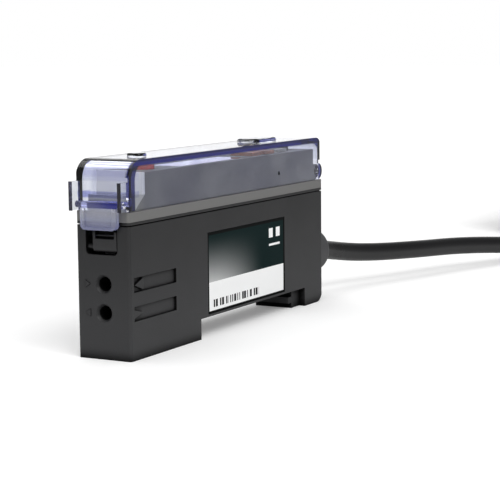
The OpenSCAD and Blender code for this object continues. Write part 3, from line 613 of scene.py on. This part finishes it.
class AMPLIFIER_OT_case(bpy.types.Operator):
    """Finishes of the moulded case, its lever, clamp and gland"""

    bl_idname = "amplifier.case"
    bl_label = "Case"

    def execute(self, context):
        colour = tuple(context.scene.amplifier_finish.case)
        moulding = moulded("case_moulding", colour, 0.48, 5200.0, spread=0.1, specular=0.28)
        # painted light and shade: the case is lighter at its foot and darker at its top
        case_top, painted_foot_light, painted_top_shade = 0.022, 1.35, 0.75
        paint_light_along_axis(moulding, "Z", 0.0, case_top, painted_foot_light, painted_top_shade)
        # painted shade in the corners and bores of the housing and of the lever
        dress(paint_shade_in_hollows(moulding), "housing")
        lever = moulded("lever_moulding", colour, 0.44, 5200.0, specular=0.28)
        dress(paint_shade_in_hollows(lever), "fibre_lever")
        dress(moulded("clamp_moulding", (0.19, 0.19, 0.2), 0.5), "fibre_clamp")
        dress(moulded("gland_rubber", (0.045, 0.045, 0.048), 0.45, 3600.0, edge=0.0004),
              "cable_gland")
        return {"FINISHED"}


class AMPLIFIER_OT_label(bpy.types.Operator):
    """Printed film on the side: dark field, pale strip and a thin border"""

    bl_idname = "amplifier.label"
    bl_label = "Label"
    # places on the film in metres
    field_x, field_z = (-0.01145, 0.01575), (0.00435, 0.01735)
    strip_top = 0.0093
    fade_x, fade_top = (-0.012, 0.008), 0.0178
    bars_x, bars_z = (-0.0104, 0.0062), (0.0049, 0.0062)
    squares_x, squares_z = ((0.0102, 0.0117), (0.0129, 0.0144)), (0.0146, 0.0163)
    line_x, line_z = (0.0102, 0.0144), (0.0131, 0.0135)

    def execute(self, context):
        finish = context.scene.amplifier_finish
        material, tree, shader = new_material("label_film")
        axes = node(tree, "SeparateXYZ", {0: object_place(tree)}).outputs
        x, z = axes["X"], axes["Z"]
        # a pale fade over the dark field, from its lower corner
        rise = node(tree, "MapRange", {"Value": z, "From Min": self.strip_top,
                                       "From Max": self.fade_top, "To Min": 1.0,
                                       "To Max": 0.0}).outputs[0]
        fade = maths(tree, "MULTIPLY", maths(tree, "POWER", rise, 2.2),
                     ramp(tree, x, *self.fade_x, 0.55, 0.0))
        colour = blend(tree, fade, tuple(finish.label_dark), tuple(finish.label_pale))
        strip = maths(tree, "LESS_THAN", z, self.strip_top)
        colour = blend(tree, strip, colour, tuple(finish.label_pale))
        colour = blend(tree, self.bars(tree, x, z), colour, (0.02, 0.02, 0.022))
        colour = blend(tree, self.marks(tree, x, z), colour, tuple(finish.label_pale))
        inside = maths(tree, "MULTIPLY", within(tree, x, *self.field_x),
                       within(tree, z, *self.field_z))
        colour = blend(tree, inside, (0.004, 0.005, 0.005), colour)
        tree.links.new(colour, shader.inputs["Base Color"])
        group = node(tree, "Group", node_tree=moulded_grain())
        tree.links.new(object_place(tree), group.inputs["Vector"])
        tree.links.new(ramp(tree, group.outputs["Rub"], 0.3, 0.7, 0.3, 0.42),
                       shader.inputs["Roughness"])
        shader.inputs["Specular IOR Level"].default_value = 0.02
        dress(material, "label_plate")
        return {"FINISHED"}

    def bars(self, tree, x, z):
        """Row of short dark bars of uneven width near the lower edge of the pale strip."""
        cells_per_metre = 1400.0
        cells = node(tree, "TexNoise", {"W": maths(tree, "MULTIPLY", x, cells_per_metre),
                                        "Scale": 1.0, "Detail": 0.0}, noise_dimensions="1D")
        ink = maths(tree, "GREATER_THAN", cells.outputs["Fac"], 0.5)
        row = maths(tree, "MULTIPLY", within(tree, z, *self.bars_z),
                    within(tree, x, *self.bars_x))
        return maths(tree, "MULTIPLY", ink, row)

    def marks(self, tree, x, z):
        """Two plain pale squares over a thin line, which stand for no sign."""
        pair = maths(tree, "MAXIMUM", *(within(tree, x, *place) for place in self.squares_x))
        squares = maths(tree, "MULTIPLY", pair, within(tree, z, *self.squares_z))
        line = maths(tree, "MULTIPLY", within(tree, x, *self.line_x),
                     within(tree, z, *self.line_z))
        return maths(tree, "MAXIMUM", squares, line)


class AMPLIFIER_OT_panel(bpy.types.Operator):
    """Finishes of the grey panel with its display, lens, keys and switch"""

    bl_idname = "amplifier.panel"
    bl_label = "Panel"

    def execute(self, context):
        finish = context.scene.amplifier_finish
        moulding = moulded("panel_moulding", tuple(finish.panel), 0.5, 5200.0)
        dress(moulding, "top_panel")
        # painted light: the toe in front of the light guide is made pale, standing in for the
        # brightness seen through the cover there
        toe = moulded("panel_toe_painted_light", (0.5, 0.5, 0.49), 0.5, 5200.0)
        toe_x, toe_z = -31.2, 23.7
        dress_faces(NODES["top_panel"].data, toe,
                    lambda p: (p[:, 0] < toe_x) & (p[:, 2] > toe_z))
        for name, across in (("plus_key", 2), ("minus_key", 1)):
            key = moulded(name + "_moulding", (0.5, 0.22, 0.14), 0.42)
            dress(self.sign(key, name, across), name)
        dress(moulded("set_key_moulding", (0.46, 0.46, 0.44), 0.42), "set_key")
        dress(moulded("knob_moulding", (0.015, 0.015, 0.016), 0.38), "mode_knob")
        dress(self.digits(moulded("display_body", (0.03, 0.015, 0.015), 0.4)), "digit_display")
        dress(clear_plastic("window_smoke", (0.3, 0.05, 0.05)), "display_window")
        dress(clear_plastic("lens_red", tuple(finish.indicator), 0.12, clear=0.5),
              "output_indicator")
        dress(moulded("guide_milky", (0.95, 0.945, 0.92), 0.35, 2500.0), "light_guide")
        return {"FINISHED"}

    def ink(self, material, mask, colour):
        """Prints a colour on a moulded finish where a mask is 1."""
        tree = material.node_tree
        base = tree.nodes["Principled BSDF"].inputs["Base Color"]
        tree.links.new(blend(tree, mask, base.links[0].from_socket, colour), base)
        return material

    def middle(self, tree, name):
        """Place on a piece from the middle of its box along X and Y, as two sockets."""
        low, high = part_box(name)
        axes = node(tree, "SeparateXYZ", {0: object_place(tree)}).outputs
        return [maths(tree, "SUBTRACT", axes[i], (low[i] + high[i]) / 2) for i in (0, 1)]

    def sign(self, material, name, across):
        """A bar on the key, or two bars that cross."""
        tree = material.node_tree
        x, y = self.middle(tree, name)
        half, stroke = 0.0009, 0.00018
        mask = 0.0
        for along_bar, over_bar in ((y, x), (x, y))[:across]:
            bar = maths(tree, "MULTIPLY", within(tree, along_bar, -half, half),
                        within(tree, over_bar, -stroke, stroke))
            mask = maths(tree, "MAXIMUM", bar, mask)
        return self.ink(material, mask, (0.85, 0.83, 0.78))

    def digits(self, material):
        """Row of four unlit figures of seven bars: in a cell, with u and v from its middle, level
        bars at v = 0 and v = +-V, and upright bars at u = +-U."""
        tree = material.node_tree
        x, y = self.middle(tree, "digit_display")
        pitch, half_u, half_v, stroke = 0.0046, 0.0012, 0.0017, 0.0002
        u = maths(tree, "PINGPONG", maths(tree, "ADD", x, 2 * pitch), pitch)
        u = maths(tree, "ABSOLUTE", maths(tree, "SUBTRACT", u, pitch / 2))
        v = maths(tree, "ABSOLUTE", y)
        level = maths(tree, "MAXIMUM", within(tree, v, -stroke, stroke),
                      within(tree, v, half_v - stroke, half_v + stroke))
        level = maths(tree, "MULTIPLY", level, maths(tree, "LESS_THAN", u, half_u - 2 * stroke))
        upright = maths(tree, "MULTIPLY", within(tree, u, half_u - stroke, half_u + stroke),
                        within(tree, v, 2 * stroke, half_v - 2 * stroke))
        bars = maths(tree, "MULTIPLY", maths(tree, "MAXIMUM", level, upright),
                     within(tree, x, -2 * pitch, 2 * pitch))
        return self.ink(material, bars, (0.75, 0.62, 0.58))


class AMPLIFIER_OT_cover(bpy.types.Operator):
    """Clear dust cover with a blue tint that deepens where it is seen end-on"""

    bl_idname = "amplifier.cover"
    bl_label = "Dust cover"
    clearest = (0.93, 0.95, 1.0)

    def execute(self, context):
        clear = clear_plastic("cover_clear", (0.8, 0.83, 0.95), 0.02)
        self.tint_edges(clear)
        grip = clear_plastic("cover_grip", (0.75, 0.78, 0.95), 0.1, clear=0.78)
        self.tint_bar(grip)
        dress(clear, "dust_cover")
        # the thumb bar and the tongue stand ahead of the front wall, between the clear fins, whose
        # front edges take the same finish
        wall_x, fin_y, fin_x = -36.02, 4.15, -37.99
        dress_faces(NODES["dust_cover"].data, grip,
                    lambda p: (p[:, 0] < wall_x) & (np.abs(p[:, 1]) < fin_y) | (p[:, 0] < fin_x))
        return {"FINISHED"}

    def tint_edges(self, material):
        """Deep blue on the sides' rim, where the plate's thickness is seen end-on, and paler
        bands across the front wall.

        The rim is where d is under about 1.1 mm, with d = r - |(max(1.5 (x0 + r - x), x - x1 + r, 0),
        max(z - z1 + r, 0))| the distance from the outline, whose upper corners have the radius r;
        the factor makes it wider in front."""
        tree = material.node_tree
        shader = tree.nodes["Principled BSDF"]
        axes = node(tree, "SeparateXYZ", {0: object_place(tree)}).outputs
        r, x0, x1, z1 = 0.0035, -0.036, 0.0314, 0.0317
        ends = maths(tree, "MAXIMUM", maths(tree, "MULTIPLY_ADD", axes["X"], -1.5, 1.5 * (x0 + r)),
                     maths(tree, "SUBTRACT", axes["X"], x1 - r))
        a = maths(tree, "MAXIMUM", ends, 0.0)
        b = maths(tree, "MAXIMUM", maths(tree, "SUBTRACT", axes["Z"], z1 - r), 0.0)
        reach = maths(tree, "SQRT", maths(tree, "ADD", maths(tree, "MULTIPLY", a, a),
                                          maths(tree, "MULTIPLY", b, b)))
        rim = ramp(tree, reach, r - 0.0013, r - 0.0009)
        side = ramp(tree, maths(tree, "ABSOLUTE", axes["Y"]), 0.0041, 0.0046)
        behind = maths(tree, "GREATER_THAN", axes["X"], x0 + 0.0001)
        wall = maths(tree, "MULTIPLY", side, behind)
        # the side walls take a deeper blue than the front: partly the cover's own tint, partly
        # painted shade that dims the parts seen through them
        clouds = node(tree, "TexNoise", {"Vector": object_place(tree), "Scale": 150.0,
                                         "Detail": 3.0}).outputs["Fac"]
        side_tint_and_shade = blend(tree, ramp(tree, clouds, 0.3, 0.7), (0.5, 0.52, 0.7),
                          (0.78, 0.81, 0.95))
        # the sides are clearer by the nose
        side_tint_and_shade = blend(tree, ramp(tree, axes["X"], x0 + 0.0035, x0 + 0.0055), self.clearest,
                          side_tint_and_shade)
        colour = blend(tree, wall, self.front_bands(tree, axes, x0), side_tint_and_shade)
        colour = blend(tree, maths(tree, "MULTIPLY", rim, wall), colour, (0.004, 0.005, 0.075))
        tree.links.new(colour, shader.inputs["Base Color"])

    def front_bands(self, tree, axes, x0):
        """Tint of the roof and front wall: lilac lines round the nose and one band below them."""
        nose_z, band_z, lines_per_metre = (0.0282, 0.0288), (0.0257, 0.0267), 2200.0
        lines = node(tree, "TexNoise", {"W": maths(tree, "MULTIPLY", axes["Z"], lines_per_metre),
                                        "Scale": 1.0, "Detail": 1.0},
                     noise_dimensions="1D").outputs["Fac"]
        front = within(tree, axes["X"], x0 - 0.0001, x0 + 0.0036)
        nose = maths(tree, "MULTIPLY", ramp(tree, axes["Z"], *nose_z),
                     ramp(tree, lines, 0.25, 0.6, 0.25, 1.0))
        colour = blend(tree, maths(tree, "MULTIPLY", nose, front), self.clearest,
                       (0.72, 0.74, 0.95))
        band = maths(tree, "MULTIPLY", within(tree, axes["Z"], *band_z), front)
        return blend(tree, band, colour, (0.5, 0.53, 0.82))

    def tint_bar(self, material):
        """Blue that deepens along the thumb bar; the tongue below it is pale, with a painted
        reflection that makes it paler at its top and bluer at its foot, and the front edges of the
        fins are dark."""
        tree = material.node_tree
        shader = tree.nodes["Principled BSDF"]
        bar_z, bar_y, tongue_z, fin_y = ((0.0241, 0.0243), (0.004, -0.003), (0.0208, 0.0238),
                                         (0.00415, 0.0042))
        axes = node(tree, "SeparateXYZ", {0: object_place(tree)}).outputs
        high = ramp(tree, axes["Z"], *bar_z)
        deep = ramp(tree, axes["Y"], *bar_y, 0.72, 1.0)
        # painted reflection: the tongue is paler at its top and bluer at its foot
        tongue = blend(tree, ramp(tree, axes["Z"], *tongue_z), (0.6, 0.63, 0.92),
                       (0.9, 0.92, 1.0))
        colour = blend(tree, maths(tree, "MULTIPLY", high, deep), tongue, (0.015, 0.02, 0.4))
        fin = ramp(tree, maths(tree, "ABSOLUTE", axes["Y"]), *fin_y)
        colour = blend(tree, fin, colour, (0.02, 0.018, 0.04))
        tree.links.new(colour, shader.inputs["Base Color"])


class AMPLIFIER_OT_inside(bpy.types.Operator):
    """Finishes of the optics, boards, chips, contacts and leads in the case"""

    bl_idname = "amplifier.inside"
    bl_label = "Inside"

    def execute(self, context):
        dress(moulded("board_mask", (0.03, 0.12, 0.05), 0.35, 1500.0), "main_board",
              "display_board")
        dress(moulded("chip_resin", (0.02, 0.02, 0.022), 0.5), "microcontroller",
              "output_driver")
        dress(moulded("optic_moulding", (0.03, 0.03, 0.032), 0.6), "optical_block")
        dress(moulded("diode_red", (0.5, 0.08, 0.06), 0.2), "emitter_led")
        dress(moulded("diode_dark", (0.05, 0.05, 0.1), 0.2), "receiver_diode")
        steel = moulded("contact_steel", (0.5, 0.5, 0.52), 0.35, 900.0)
        steel.node_tree.nodes["Principled BSDF"].inputs["Metallic"].default_value = 1.0
        dress(steel, "plus_contact", "minus_contact", "set_contact", "mode_switch")
        for name, colour in CORE_COLOURS:
            dress(moulded("lead_" + name, colour, 0.4, 3000.0), "lead_" + name)
        return {"FINISHED"}


STEPS = (AMPLIFIER_OT_studio, AMPLIFIER_OT_cable, AMPLIFIER_OT_case, AMPLIFIER_OT_label,
         AMPLIFIER_OT_panel, AMPLIFIER_OT_cover, AMPLIFIER_OT_inside)


class AMPLIFIER_PT_steps(bpy.types.Panel):
    """Lists the amplifier's steps"""

    bl_idname = "AMPLIFIER_PT_steps"
    bl_label = "Amplifier"
    bl_space_type = "VIEW_3D"
    bl_region_type = "UI"
    bl_category = "Amplifier"

    def draw(self, context):
        for step in STEPS:
            self.layout.operator(step.bl_idname)


GROUPS = (("amplifier_cord", CordSizes), ("amplifier_finish", Finishes),
          ("amplifier_studio", StudioSetup))


def register():
    for name, kind in GROUPS:
        bpy.utils.register_class(kind)
        setattr(bpy.types.Scene, name, bpy.props.PointerProperty(type=kind))
    for kind in (*STEPS, AMPLIFIER_PT_steps):
        bpy.utils.register_class(kind)


def unregister():
    for kind in (AMPLIFIER_PT_steps, *reversed(STEPS)):
        bpy.utils.unregister_class(kind)
    for name, kind in reversed(GROUPS):
        delattr(bpy.types.Scene, name)
        bpy.utils.unregister_class(kind)


def main():
    register()
    bpy.ops.amplifier.studio()
    bpy.ops.amplifier.cable()
    bpy.ops.amplifier.case()
    bpy.ops.amplifier.label()
    bpy.ops.amplifier.panel()
    bpy.ops.amplifier.cover()
    bpy.ops.amplifier.inside()


if __name__ == "__main__":
    main()
